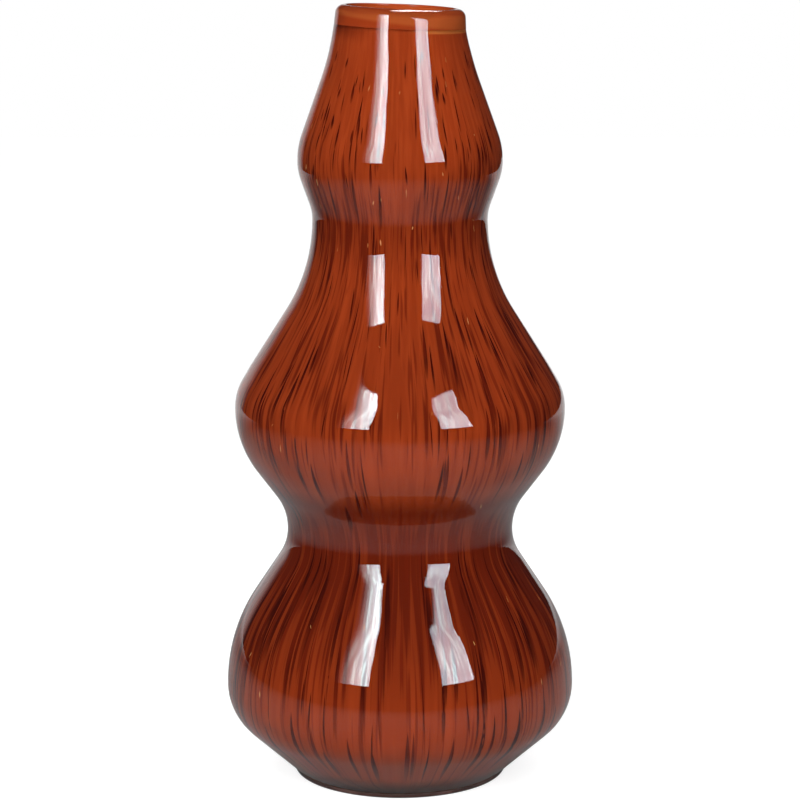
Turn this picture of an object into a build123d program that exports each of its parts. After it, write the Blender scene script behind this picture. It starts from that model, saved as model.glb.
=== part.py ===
"""Blown gourd vase of cased glass: three bulbs, two waists, a wrapped lip and a low foot.

The glass is laid up in gathers, from the inside out: an opaque amber liner, a thin red-brown
coat with dark streaks set in slots through it, and a clear casing that thickens into the base.
A smoky foot pad is fused under the casing, and an ochre wrap closes the ends of the three layers.
Millimetres, +Z up, origin on the table at the middle of the foot.
"""
from build123d import *
import os
from math import asin, atan2, cos, degrees, hypot, radians, sin, sqrt, tan

# Outer skin: the diameter of each feature, and how far it stands above the one below it
FOOT_DIAMETER = 97.0
FOOT_HEIGHT = 2.2
LOWER_BULB_DIAMETER = 158.6
LOWER_BULB_RISE = 39.0
LOWER_WAIST_DIAMETER = 102.6
LOWER_WAIST_RISE = 72.8
MIDDLE_BULB_DIAMETER = 149.5
MIDDLE_BULB_RISE = 55.9
UPPER_WAIST_DIAMETER = 78.8
UPPER_WAIST_RISE = 85.9
UPPER_BULB_DIAMETER = 91.8
UPPER_BULB_RISE = 25.9
NECK_DIAMETER = 55.1        # where the neck would stand upright, above the lip
NECK_RISE = 81.4

# Flanks between features: fullness runs from 0, a straight cone, to 1, two arcs with no straight
# between them, and share is the part of the two radii that the lower arc takes
HEEL_FULLNESS = 0.63
LOWER_SHOULDER_FULLNESS, LOWER_SHOULDER_SHARE = 0.93, 0.76
MIDDLE_HEEL_FULLNESS, MIDDLE_HEEL_SHARE = 0.94, 0.375
MIDDLE_SHOULDER_FULLNESS, MIDDLE_SHOULDER_SHARE = 0.835, 0.23
UPPER_HEEL_FULLNESS, UPPER_HEEL_SHARE = 0.81, 0.42
UPPER_SHOULDER_FULLNESS, UPPER_SHOULDER_SHARE = 0.91, 0.21

# Glass layers, measured square to the skin
CASING_WALL = 2.2
COAT_WALL = 0.6
LINER_WALL = 1.8
BASE_THICKNESS = 9.0        # table to the underside of the coloured bubble
BUBBLE_HEEL_RADIUS = 14.0   # outer corner of the bubble's flat floor

# Lip wrap: a bead that leans in less than the neck and that the maker left a little out of level
LIP_RISE = 59.7             # from the upper bulb's girth to the seat
LIP_HEIGHT = 8.5
LIP_LEAN = 4.5              # degrees, inwards
LIP_TILT = 2.4              # degrees, high towards -X
LIP_NOD = 1.3               # degrees, high towards -Y
LIP_INNER_ROUND = 0.7

# Foot pad: edge round and the ground-out mark where the iron was cracked off
FOOT_EDGE_RADIUS = 1.5
PUNTY_DIAMETER = 34.0
PUNTY_DEPTH = 1.1

# Streaks: drawn-out dark slivers, dealt round the vase by the golden angle. A width is the one
# that the streak has, or would have, at the bulb's fullest girth
STREAK_CLEAR_OF_WAIST = 3.0
STREAK_CLEAR_OF_LIP = 20.0
STREAK_CLEAR_OF_FLOOR = 9.0
UPPER_STREAKS = 24
UPPER_STREAK_SHORTEST, UPPER_STREAK_LONGEST = 9.0, 30.0
UPPER_STREAK_NARROWEST, UPPER_STREAK_WIDEST = 0.7, 1.4
MIDDLE_STREAKS = 32
MIDDLE_STREAK_SHORTEST, MIDDLE_STREAK_LONGEST = 18.0, 66.0
MIDDLE_STREAK_NARROWEST, MIDDLE_STREAK_WIDEST = 0.8, 1.8
LOWER_STREAKS = 32
LOWER_STREAK_SHORTEST, LOWER_STREAK_LONGEST = 22.0, 60.0
LOWER_STREAK_NARROWEST, LOWER_STREAK_WIDEST = 0.8, 2.0
GOLDEN_ANGLE = 180.0 * (3.0 - sqrt(5.0))

# Heights above the table that follow from the rises
LOWER_BULB_Z = FOOT_HEIGHT + LOWER_BULB_RISE
LOWER_WAIST_Z = LOWER_BULB_Z + LOWER_WAIST_RISE
MIDDLE_BULB_Z = LOWER_WAIST_Z + MIDDLE_BULB_RISE
UPPER_WAIST_Z = MIDDLE_BULB_Z + UPPER_WAIST_RISE
UPPER_BULB_Z = UPPER_WAIST_Z + UPPER_BULB_RISE
NECK_Z = UPPER_BULB_Z + NECK_RISE
LIP_SEAT_Z = UPPER_BULB_Z + LIP_RISE

# Depths under the skin at which one layer meets the next
COAT_DEPTH = CASING_WALL
LINER_DEPTH = COAT_DEPTH + COAT_WALL
CAVITY_DEPTH = LINER_DEPTH + LINER_WALL

LIP_OUTER_ROUND = CAVITY_DEPTH - LIP_INNER_ROUND
LIP_OVERRUN = LIP_HEIGHT + NECK_DIAMETER * (sin(radians(LIP_TILT)) + sin(radians(LIP_NOD)))
LIP_PLANE = Plane((0, 0, LIP_SEAT_Z)).rotated((-LIP_NOD, LIP_TILT, 0))


class Bend:
    """A round stretch of the skin: its centre, its radius, its two angles and which side is glass.

    An angle is the direction from the centre to the skin, in degrees above the horizontal. On a
    bulb the glass lies towards the centre, so a deeper layer has a smaller radius, and on a waist
    it lies away from it.
    """

    def __init__(self, centre, radius, start, end, bulb):
        self.centre, self.radius, self.start, self.end, self.bulb = centre, radius, start, end, bulb

    def reach(self, depth):
        """This bend's radius at a depth under the skin."""
        return self.radius - depth if self.bulb else self.radius + depth

    def point(self, angle, depth):
        """The place (radius, height) on this bend at an angle, at a depth under the skin."""
        reach = self.reach(depth)
        return (self.centre[0] + reach * cos(radians(angle)), self.centre[1] + reach * sin(radians(angle)))

    def radius_at(self, height, depth):
        """The vase's radius where this bend, at a depth, passes a height."""
        reach = self.reach(depth)
        across = sqrt(reach**2 - (height - self.centre[1]) ** 2)
        return self.centre[0] + across if self.bulb else self.centre[0] - across

    def arc(self, depth):
        """The three points of this bend's arc at a depth, from below upwards."""
        return [self.point(a, depth) for a in (self.start, (self.start + self.end) / 2, self.end)]


def flank(lower, upper, fullness, share):
    """The two bends of the ogee that leaves one feature upright and reaches the next upright."""
    (lower_r, lower_z), (upper_r, upper_z) = lower, upper
    across, up = abs(lower_r - upper_r), upper_z - lower_z
    both_radii = fullness * (across**2 + up**2) / (2 * across)
    lean = degrees(asin(both_radii / hypot(up, both_radii - across)) - atan2(both_radii - across, up))
    lower_radius, upper_radius = share * both_radii, (1 - share) * both_radii
    if lower_r > upper_r:
        first = Bend((lower_r - lower_radius, lower_z), lower_radius, 0, lean, True)
        last = Bend((upper_r + upper_radius, upper_z), upper_radius, 180 + lean, 180, False)
    else:
        first = Bend((lower_r + lower_radius, lower_z), lower_radius, 180, 180 - lean, False)
        last = Bend((upper_r - upper_radius, upper_z), upper_radius, -lean, 0, True)
    return first, last


def skin_bends():
    """The bends of the outer skin, from the heel of the lower bulb up past the lip's seat."""
    foot = (FOOT_DIAMETER / 2, FOOT_HEIGHT)
    lower_bulb = (LOWER_BULB_DIAMETER / 2, LOWER_BULB_Z)
    lower_waist = (LOWER_WAIST_DIAMETER / 2, LOWER_WAIST_Z)
    middle_bulb = (MIDDLE_BULB_DIAMETER / 2, MIDDLE_BULB_Z)
    upper_waist = (UPPER_WAIST_DIAMETER / 2, UPPER_WAIST_Z)
    upper_bulb = (UPPER_BULB_DIAMETER / 2, UPPER_BULB_Z)
    neck = (NECK_DIAMETER / 2, NECK_Z)
    heel = flank(foot, lower_bulb, HEEL_FULLNESS, 0)[1]
    return [
        heel,
        *flank(lower_bulb, lower_waist, LOWER_SHOULDER_FULLNESS, LOWER_SHOULDER_SHARE),
        *flank(lower_waist, middle_bulb, MIDDLE_HEEL_FULLNESS, MIDDLE_HEEL_SHARE),
        *flank(middle_bulb, upper_waist, MIDDLE_SHOULDER_FULLNESS, MIDDLE_SHOULDER_SHARE),
        *flank(upper_waist, upper_bulb, UPPER_HEEL_FULLNESS, UPPER_HEEL_SHARE),
        *flank(upper_bulb, neck, UPPER_SHOULDER_FULLNESS, UPPER_SHOULDER_SHARE),
    ]


SKIN = skin_bends()


def bubble_heel():
    """The bend between the coloured bubble's flat floor and the slope of the lower bulb's heel."""
    slope = SKIN[0]
    lean = radians(slope.start)
    centre_z = BASE_THICKNESS + BUBBLE_HEEL_RADIUS
    inward = slope.radius - COAT_DEPTH - BUBBLE_HEEL_RADIUS
    centre_r = slope.centre[0] + (inward - (centre_z - slope.centre[1]) * sin(lean)) / cos(lean)
    return Bend((centre_r, centre_z), BUBBLE_HEEL_RADIUS + COAT_DEPTH, -90, slope.start, True)


def run(start, bends, depth, end):
    """The edges of a profile from a start point, along the bends at a depth, to an end point."""
    edges, at = [], start
    for bend in bends:
        low, middle, high = bend.arc(depth)
        if hypot(low[0] - at[0], low[1] - at[1]) > 1e-6:
            edges.append(Line(at, low))
        edges.append(ThreePointArc(low, middle, high))
        at = high
    edges.append(Line(at, end))
    return edges


def skin_run():
    """The outer skin from the foot pad's edge to above the lip's seat."""
    return run((FOOT_DIAMETER / 2, FOOT_HEIGHT), SKIN, 0, (NECK_DIAMETER / 2, NECK_Z + LIP_OVERRUN))


def bubble_run(depth):
    """The seam between two layers at a depth, from the middle of its floor to above the lip's seat."""
    floor_z = BASE_THICKNESS + depth - COAT_DEPTH
    top = (NECK_DIAMETER / 2 - depth, NECK_Z + LIP_OVERRUN)
    return run((0, floor_z), [bubble_heel(), *SKIN], depth, top)


def ends_of(edges):
    """The first and last points of a run of edges."""
    return edges[0] @ 0, edges[-1] @ 1


def turned(profile):
    """The solid that a flat profile, drawn as (radius, height), makes about the Z axis."""
    return revolve(Plane.XZ * profile, Axis.Z)


def cut_for_lip(layer):
    """A layer cut off at the lip's seat, which leans with the lip."""
    return split(layer, bisect_by=LIP_PLANE, keep=Keep.BOTTOM)


def layer_between(outer, inner):
    """A layer of glass between an outer and an inner run, both from the axis upwards."""
    outer_floor, outer_top = ends_of(outer)
    inner_floor, inner_top = ends_of(inner)
    rim, axis = Line(outer_top, inner_top), Line(inner_floor, outer_floor)
    return cut_for_lip(turned(make_face([*outer, rim, *inner, axis])))


def clear_casing():
    """The outer gather: clear glass, thick at the base, flat where it sits on the foot pad."""
    seat_middle, seat_edge = (0, FOOT_HEIGHT), (FOOT_DIAMETER / 2, FOOT_HEIGHT)
    return layer_between([Line(seat_middle, seat_edge), *skin_run()], bubble_run(COAT_DEPTH))


def coat_blank():
    """The thin red-brown gather before the slots for its streaks."""
    return layer_between(bubble_run(COAT_DEPTH), bubble_run(LINER_DEPTH))


def amber_liner():
    """The inner gather: opaque amber glass, closed at the bottom."""
    return layer_between(bubble_run(LINER_DEPTH), bubble_run(CAVITY_DEPTH))


def lip_wrap():
    """The ochre bead round the mouth: as thick as the wall, leaning in, rounded over the rim."""
    neck, drawn_in = SKIN[-1], LIP_HEIGHT * tan(radians(LIP_LEAN))
    outer_r, inner_r = neck.radius_at(LIP_SEAT_Z, 0), neck.radius_at(LIP_SEAT_Z, CAVITY_DEPTH)
    seat = [(inner_r, 0), (outer_r, 0)]
    rim = [(outer_r - drawn_in, LIP_HEIGHT), (inner_r - drawn_in, LIP_HEIGHT)]
    profile = make_face(Polyline(*seat, *rim, close=True))
    profile = fillet(profile.vertices().group_by(Axis.Y)[-1].sort_by(Axis.X)[-1], LIP_OUTER_ROUND)
    profile = fillet(profile.vertices().group_by(Axis.Y)[-1].sort_by(Axis.X)[0], LIP_INNER_ROUND)
    return LIP_PLANE * turned(profile)


def foot_pad():
    """The smoky pad under the casing, eased at its lower edge, with the ground punty mark."""
    edge_r = FOOT_DIAMETER / 2
    eased = FOOT_EDGE_RADIUS * (1 - sqrt(0.5))
    profile = [
        Line((0, 0), (edge_r - FOOT_EDGE_RADIUS, 0)),
        ThreePointArc(
            (edge_r - FOOT_EDGE_RADIUS, 0), (edge_r - eased, eased), (edge_r, FOOT_EDGE_RADIUS)
        ),
        Line((edge_r, FOOT_EDGE_RADIUS), (edge_r, FOOT_HEIGHT)),
        Line((edge_r, FOOT_HEIGHT), (0, FOOT_HEIGHT)),
        Line((0, FOOT_HEIGHT), (0, 0)),
    ]
    punty_ball = ((PUNTY_DIAMETER / 2) ** 2 + PUNTY_DEPTH**2) / (2 * PUNTY_DEPTH)
    return turned(make_face(profile)) - Pos(0, 0, PUNTY_DEPTH - punty_ball) * Sphere(punty_ball)


def spread(index, step):
    """An even, unrepeating share from 0 to 1 for each index."""
    return (index * step) % 1.0


def streak_cutters(count, inside, outside, low, high, lengths, widths):
    """Wedges that point at the axis, one for each streak, so that it narrows with the vase."""
    cutters = []
    for index in range(count):
        length = lengths[0] + (lengths[1] - lengths[0]) * spread(index, sqrt(3))
        width = widths[0] + (widths[1] - widths[0]) * spread(index, sqrt(7))
        bottom = low + (high - low - length) * spread(index, sqrt(2))
        middle, half = radians(index * GOLDEN_ANGLE), width / outside / 2
        corners = [
            (radius * cos(turn), radius * sin(turn))
            for radius, turn in (
                (inside, middle - half),
                (outside, middle - half),
                (outside, middle + half),
                (inside, middle + half),
            )
        ]
        plan = make_face(Polyline(*corners, close=True))
        cutters.append(Pos(0, 0, bottom) * extrude(plan, amount=length))
    return cutters


STREAK_SETS = {
    "upper_bulb_streaks": (
        UPPER_STREAKS,
        NECK_DIAMETER / 2 - CAVITY_DEPTH,
        UPPER_BULB_DIAMETER / 2,
        UPPER_WAIST_Z + STREAK_CLEAR_OF_WAIST,
        LIP_SEAT_Z - STREAK_CLEAR_OF_LIP,
        (UPPER_STREAK_SHORTEST, UPPER_STREAK_LONGEST),
        (UPPER_STREAK_NARROWEST, UPPER_STREAK_WIDEST),
    ),
    "middle_bulb_streaks": (
        MIDDLE_STREAKS,
        min(LOWER_WAIST_DIAMETER, UPPER_WAIST_DIAMETER) / 2 - CAVITY_DEPTH,
        MIDDLE_BULB_DIAMETER / 2,
        LOWER_WAIST_Z + STREAK_CLEAR_OF_WAIST,
        UPPER_WAIST_Z - STREAK_CLEAR_OF_WAIST,
        (MIDDLE_STREAK_SHORTEST, MIDDLE_STREAK_LONGEST),
        (MIDDLE_STREAK_NARROWEST, MIDDLE_STREAK_WIDEST),
    ),
    "lower_bulb_streaks": (
        LOWER_STREAKS,
        min(FOOT_DIAMETER, LOWER_WAIST_DIAMETER) / 2 - CAVITY_DEPTH,
        LOWER_BULB_DIAMETER / 2,
        BASE_THICKNESS + STREAK_CLEAR_OF_FLOOR,
        LOWER_WAIST_Z - STREAK_CLEAR_OF_WAIST,
        (LOWER_STREAK_SHORTEST, LOWER_STREAK_LONGEST),
        (LOWER_STREAK_NARROWEST, LOWER_STREAK_WIDEST),
    ),
}


def build():
    """Every piece of the vase by name."""
    blank = coat_blank()
    pieces = {
        "foot_pad": foot_pad(),
        "clear_casing": clear_casing(),
        "amber_liner": amber_liner(),
        "lip_wrap": lip_wrap(),
    }
    every_cutter = []
    for name, sizes in STREAK_SETS.items():
        cutters = streak_cutters(*sizes)
        slivers = [solid for cutter in cutters for solid in (blank & cutter).solids()]
        pieces[name] = Compound(slivers)
        every_cutter += cutters
    pieces["colour_coat"] = blank - every_cutter
    return pieces


os.makedirs("parts", exist_ok=True)
for piece_name, piece in build().items():
    export_step(piece, f"parts/{piece_name}.step")
    solids = piece.solids()
    print(piece_name, "solids", len(solids), "volume", round(sum(s.volume for s in solids)))
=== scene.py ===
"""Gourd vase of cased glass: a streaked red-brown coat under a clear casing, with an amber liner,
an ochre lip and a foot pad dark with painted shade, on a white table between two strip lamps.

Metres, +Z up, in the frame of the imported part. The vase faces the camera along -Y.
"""
from functools import partial
from math import asin, atan2, ceil, cos, hypot, pi, radians, sin, sqrt, tan, tau
from random import Random

import bmesh
import bpy
from bpy.props import FloatProperty, FloatVectorProperty, IntProperty, PointerProperty
from mathutils import Matrix, Vector, noise


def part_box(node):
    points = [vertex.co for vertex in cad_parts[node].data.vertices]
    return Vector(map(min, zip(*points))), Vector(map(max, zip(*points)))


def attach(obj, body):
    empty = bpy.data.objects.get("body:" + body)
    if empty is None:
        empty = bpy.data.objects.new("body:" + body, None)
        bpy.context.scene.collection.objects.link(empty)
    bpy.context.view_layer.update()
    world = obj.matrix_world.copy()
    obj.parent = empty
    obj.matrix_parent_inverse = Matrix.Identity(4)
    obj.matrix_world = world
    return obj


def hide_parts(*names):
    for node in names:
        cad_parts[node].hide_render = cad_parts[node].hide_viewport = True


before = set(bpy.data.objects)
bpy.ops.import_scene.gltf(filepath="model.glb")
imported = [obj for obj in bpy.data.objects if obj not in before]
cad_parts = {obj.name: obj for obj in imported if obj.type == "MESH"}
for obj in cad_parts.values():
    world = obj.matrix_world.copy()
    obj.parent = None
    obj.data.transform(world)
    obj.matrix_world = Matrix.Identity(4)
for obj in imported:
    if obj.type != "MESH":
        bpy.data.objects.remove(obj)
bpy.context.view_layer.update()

bl_info = {
    "name": "Gourd Vase",
    "version": (1, 0, 0),
    "blender": (4, 5, 0),
    "location": "3D View > Sidebar > Gourd",
    "description": "Builds a blown gourd vase of cased glass and the table it stands on",
    "category": "Add Mesh",
}

FOOT_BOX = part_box("foot_pad")
CASING_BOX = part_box("clear_casing")

MM = 0.001
TURNED_SIDES = 192  # faces round a turned piece
ARC_STEP = 2.4 * MM  # longest edge along a bend of a profile
LINE_STEP = 2.4 * MM  # longest edge along a straight of a profile
WELD = 0.001 * MM  # vertices nearer than this are one
TUCK = 0.05 * MM  # how far a piece reaches into its neighbour, so that no seam shows
CREASE = radians(40)  # edges that turn further than this stay crisp
GOLDEN_ANGLE = pi * (3 - sqrt(5))
GLASS_IOR = 1.5
SENSOR_WIDTH = 36.0  # of the camera, in millimetres
SKEW = 0.012  # how far a sliver's tips turn about the axis, at most, in radians
STRAY = 0.2  # how far a sliver stands from its even place round the axis, at most


def sort_of(prop, one=1, **settings):
    """A sort of property, which takes a default, in ones of its unit, and a description."""

    def described(default, description):
        scaled = [value * one for value in default] if isinstance(default, tuple) else default * one
        return partial(prop, default=scaled, description=description, **settings)

    return described


size = sort_of(FloatProperty, one=MM, min=0.0, unit="LENGTH", precision=5)
sizes = sort_of(FloatVectorProperty, one=MM, size=2, min=0.0, unit="LENGTH", precision=5)
share = sort_of(FloatProperty, min=0.0, max=1.0, subtype="FACTOR")
shares = sort_of(FloatVectorProperty, size=2, min=0.0, max=1.0)
slant = sort_of(FloatProperty, one=radians(1), subtype="ANGLE")
level = sort_of(FloatProperty, min=0.0)
count = sort_of(IntProperty, min=1)
tint = sort_of(FloatVectorProperty, min=0.0, max=1.0, subtype="COLOR")
focal = sort_of(FloatProperty, min=1.0, unit="CAMERA")


def named(group):
    """Makes the properties of a group, each with a name after its attribute."""
    for key, unnamed in group.__annotations__.items():
        group.__annotations__[key] = unnamed(name=key.replace("_", " ").capitalize())
    return group


def box_size(box):
    """The size of a box in millimetres."""
    return (box[1] - box[0]) / MM


@named
class GourdOutline(bpy.types.PropertyGroup):
    """The outer skin: each feature's diameter, and how far it stands above the one below it; then each
    flank's roundness, and the part of that in its lower arc"""

    foot: sizes((box_size(FOOT_BOX).x, box_size(FOOT_BOX).z), "The foot pad, and its thickness")
    lower_bulb: sizes((box_size(CASING_BOX).x, 39.0), "The lowest, widest bulb at its girth")
    lower_waist: sizes((102.6, 72.8), "The waist over the lower bulb")
    middle_bulb: sizes((149.5, 55.9), "The middle bulb at its girth")
    upper_waist: sizes((78.8, 85.9), "The waist under the upper bulb")
    upper_bulb: sizes((91.8, 25.9), "The upper bulb at its girth")
    neck: sizes((55.1, 81.4), "Where the neck would be upright, over the lip")
    heel: share(0.63, "Roundness under the lower bulb, all in one arc")
    lower_shoulder: shares((0.93, 0.76), "Over the lower bulb")
    middle_heel: shares((0.94, 0.375), "Under the middle bulb")
    middle_shoulder: shares((0.835, 0.23), "Over the middle bulb")
    upper_heel: shares((0.81, 0.42), "Under the upper bulb")
    upper_shoulder: shares((0.91, 0.21), "Over the upper bulb")


@named
class GourdLayers(bpy.types.PropertyGroup):
    """The gathers of glass, the lip and the foot"""

    casing_wall: size(2.2, "Thickness of the clear casing")
    coat_wall: size(0.6, "Thickness of the red-brown coat")
    liner_wall: size(1.8, "Thickness of the amber liner")
    base_thickness: size(9.0, "From the table to the coloured bubble")
    bubble_heel_radius: size(14.0, "Corner of the bubble's flat floor")
    lip_rise: size(59.7, "From the upper bulb's girth to the lip's seat")
    lip_height: size(8.49, "Height of the lip wrap over its seat")
    lip_inner_round: size(0.7, "Inner corner of the rim")
    lip_skin: size(0.9, "Clear glass over the lip's ochre core")
    lip_lean: slant(4.5, "How far the lip's face leans inwards")
    lip_tilt: slant(2.4, "Lean of the whole lip, high towards -X")
    lip_nod: slant(1.3, "Lean of the whole lip, high towards -Y")
    lip_sag: size(1.6, "Slope of the rim where it was pressed")
    sag_bearing: slant(22.0, "Of that slope, from the front towards +X")
    lip_blend: size(14.0, "Below the seat, where the glass takes up the lean")
    foot_edge_radius: size(1.5, "Eased lower edge of the foot pad")
    punty_diameter: size(34.0, "Across the ground mark under the foot")
    punty_depth: size(1.1, "Depth of the ground mark under the foot")
    hand_wobble: size(0.2, "How far the skin strays inwards")
    shoulder_swell: size(0.25, "How far the middle shoulder stands proud")
    swell_foot: size(11.5, "Where that begins, over the bulb's girth")
    swell_crest: size(19.5, "Where it is fullest, over the bulb's girth")
    swell_head: size(47.0, "Where it runs out, over the bulb's girth")


@named
class GourdStreaks(bpy.types.PropertyGroup):
    """The dark slivers drawn out in the coat: how many, and their sizes low and high in each bulb"""

    upper_count: count(320, "Slivers in the upper bulb")
    upper_length: sizes((19.0, 8.0), "At its foot, and under the lip")
    upper_width: sizes((1.15, 0.72), "At its foot, and under the lip")
    middle_count: count(330, "Slivers in the middle bulb")
    middle_length: sizes((23.0, 21.0), "At its foot, and at its head")
    middle_width: sizes((1.45, 0.85), "At its foot, and at its head")
    lower_count: count(330, "Slivers in the lower bulb")
    lower_length: sizes((32.0, 46.0), "At its foot, and at its head")
    lower_width: sizes((0.95, 1.6), "At its foot, and at its head")
    wedge_count: count(50, "Dark wedges over the heel")
    wedge_length: size(27.0, "Height of a wedge")
    wedge_width: size(1.7, "Across a wedge")
    thickness: size(0.24, "Of a sliver at its middle")
    stand_off: size(0.15, "From the coat's face out to a sliver's middle")
    # These are painted glints: small bright gold slivers that stand for bubbles in the glass catching the
    # lamps.
    fleck_count: count(90, "Gold flecks over the coat")
    fleck_length: size(2.4, "Length of a gold fleck")
    fleck_width: size(0.42, "Width of a gold fleck")
    front_bareness: share(0.75, "Share left out straight in front")
    clear_of_lip: size(9.0, "Bare glass under the lip's seat")
    past_waist: size(6.0, "How far slivers run on past a waist")


@named
class GourdColours(bpy.types.PropertyGroup):
    """The colours of the glass"""

    coat: tint((0.31, 0.041, 0.0085), "Red-brown of the coat")
    coat_light: tint((0.375, 0.053, 0.0109), "Where the coat is drawn thin")
    # Also the colour of the painted shade in the waists and under the lip.
    coat_band_and_shade: tint((0.108, 0.01, 0.0032), "Broad dark bands in the coat")
    coat_stroke: tint((0.135, 0.0125, 0.0036), "Fine dark strokes in the coat")
    seam: tint((0.56, 0.16, 0.035), "Gold line under the lip")
    streak: tint((0.045, 0.0042, 0.0022), "Dark slivers")
    streak_thin: tint((0.118, 0.0108, 0.0032), "Slivers drawn thin")
    # Painted glints: gold for bubbles catching the lamps, duller where they lie deeper.
    fleck: tint((0.7, 0.33, 0.11), "Gold flecks")
    fleck_dull: tint((0.42, 0.13, 0.035), "Gold flecks that lie deeper")
    liner: tint((0.445, 0.08, 0.033), "Amber inside the mouth")
    # Painted shade: the liner's colour deeper in the vase is drawn darker.
    liner_painted_shade: tint((0.3, 0.046, 0.017), "Amber deeper in the vase")
    lip: tint((0.39, 0.08, 0.018), "Ochre of the lip wrap")
    lip_rim: tint((0.265, 0.039, 0.0095), "Redder glass over the rim")
    # Painted light: the foot's dark colours stand for the shade seen through the clear pad, and its top
    # face's paler grey for the sheen seen through the casing's heel.
    foot: tint((0.042, 0.018, 0.015), "Smoky foot")
    foot_light: tint((0.08, 0.038, 0.032), "Paler wisps in the foot")
    foot_top_painted_sheen: tint((0.24, 0.21, 0.175), "Ashen face under the clear glass")
    casing: tint((0.985, 0.98, 0.975), "Faint cast of the clear glass")
    casing_shade: tint((0.85, 0.85, 0.85), "Part of the lamps' light that goes through")
    left_strip: tint((0.82, 0.9, 0.96), "Rosy streaks of the left strip")
    left_strip_white: tint((0.8, 1.0, 1.0), "White streaks of the left strip")
    right_strip: tint((0.8, 0.86, 0.98), "Rosy streaks of the right strip")
    right_strip_white: tint((0.78, 0.97, 1.0), "White streaks of the right strip")


@named
class GourdStudio(bpy.types.PropertyGroup):
    """The table, the lamps and the camera"""

    table: tint((0.38, 0.38, 0.38), "Matt table top")
    table_dusk: tint((0.02, 0.02, 0.02), "Table top far from the vase")
    table_front: size(1000.0, "From the vase to its front edge")
    table_back: size(2600.0, "From the vase to its back edge")
    table_half_width: size(950.0, "From the vase to each side")
    lamp_reach: size(2200.0, "From the vase to each strip lamp")
    lamp_bottom: size(500.0, "Height of the strips' lower ends")
    left_bearing: slant(-32.9, "Left strip, from the camera")
    left_size: sizes((1024.0, 2860.0), "Left strip's width, and height of its top")
    left_gloss: level(15.5, "Left strip in the gloss")
    fill_turn: share(0.6, "Bearings of the matt surfaces' lamps, as a share of the strips'")
    left_fill: level(10.1, "Left strip on matt surfaces")
    right_bearing: slant(38.3, "Right strip, from the camera")
    right_size: sizes((911.0, 2610.0), "Right strip's width, and height of its top")
    right_gloss: level(9.4, "Right strip in the gloss")
    right_fill: level(6.1, "Right strip on matt surfaces")
    back_fill: level(5.0, "Lamp behind the vase on matt surfaces")
    back_width: size(1400.0, "Width of the lamp behind the vase")
    rim_lamp: sizes((420.0, 1500.0), "Width and length of the lamp over the rim")
    rim_lamp_aside: sizes((260.0, 1300.0), "Where it stands, towards +X and behind the vase")
    rim_lamp_height: size(2150.0, "Height of the lamp over the rim")
    rim_gloss: level(8.0, "Lamp over the rim in the gloss")
    ambient: level(0.06, "Light of the room on matt surfaces")
    camera_back: size(1372.6, "From the vase's axis to the camera")
    camera_height: size(446.0, "Height of the camera over the table")
    aim_height: size(172.7, "Height that the camera looks at")
    focal_length: focal(139.1, "Of the camera's lens")


PROPERTY_GROUPS = {
    "gourd_outline": GourdOutline,
    "gourd_layers": GourdLayers,
    "gourd_streaks": GourdStreaks,
    "gourd_colours": GourdColours,
    "gourd_studio": GourdStudio,
}


class Bend:
    """A round stretch of the skin, from one direction above the horizontal to another.

    On a bulb the glass lies towards the centre, so a deeper layer has a smaller radius.
    """

    def __init__(self, centre_r, centre_z, radius, start, end, bulb):
        self.centre_r, self.centre_z, self.radius = centre_r, centre_z, radius
        self.start, self.end, self.bulb = start, end, bulb

    def reach(self, depth):
        """The arc's radius at a depth under the skin."""
        return self.radius - depth if self.bulb else self.radius + depth

    def point(self, angle, depth):
        """The place (radius, height) at an angle, at a depth under the skin."""
        reach = self.reach(depth)
        return self.centre_r + reach * cos(angle), self.centre_z + reach * sin(angle)

    def radius_at(self, height, depth):
        """The vase's radius where this bend, at a depth, passes a height."""
        reach, up = self.reach(depth), height - self.centre_z
        across = sqrt(max(reach**2 - up**2, 0.0))
        return self.centre_r + across if self.bulb else self.centre_r - across


def flank(lower, upper, fullness, lower_share):
    """The two bends of the ogee that leaves one feature upright and reaches the next upright."""
    (lower_r, lower_z), (upper_r, upper_z) = lower, upper
    across, up = abs(lower_r - upper_r), upper_z - lower_z
    both_radii = fullness * (across**2 + up**2) / (2 * across)
    lean = asin(both_radii / hypot(up, both_radii - across)) - atan2(both_radii - across, up)
    lower_radius, upper_radius = lower_share * both_radii, (1 - lower_share) * both_radii
    if lower_r > upper_r:
        first = Bend(lower_r - lower_radius, lower_z, lower_radius, 0, lean, True)
        last = Bend(upper_r + upper_radius, upper_z, upper_radius, pi + lean, pi, False)
    else:
        first = Bend(lower_r + lower_radius, lower_z, lower_radius, pi, pi - lean, False)
        last = Bend(upper_r - upper_radius, upper_z, upper_radius, -lean, 0, True)
    return first, last


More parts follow.
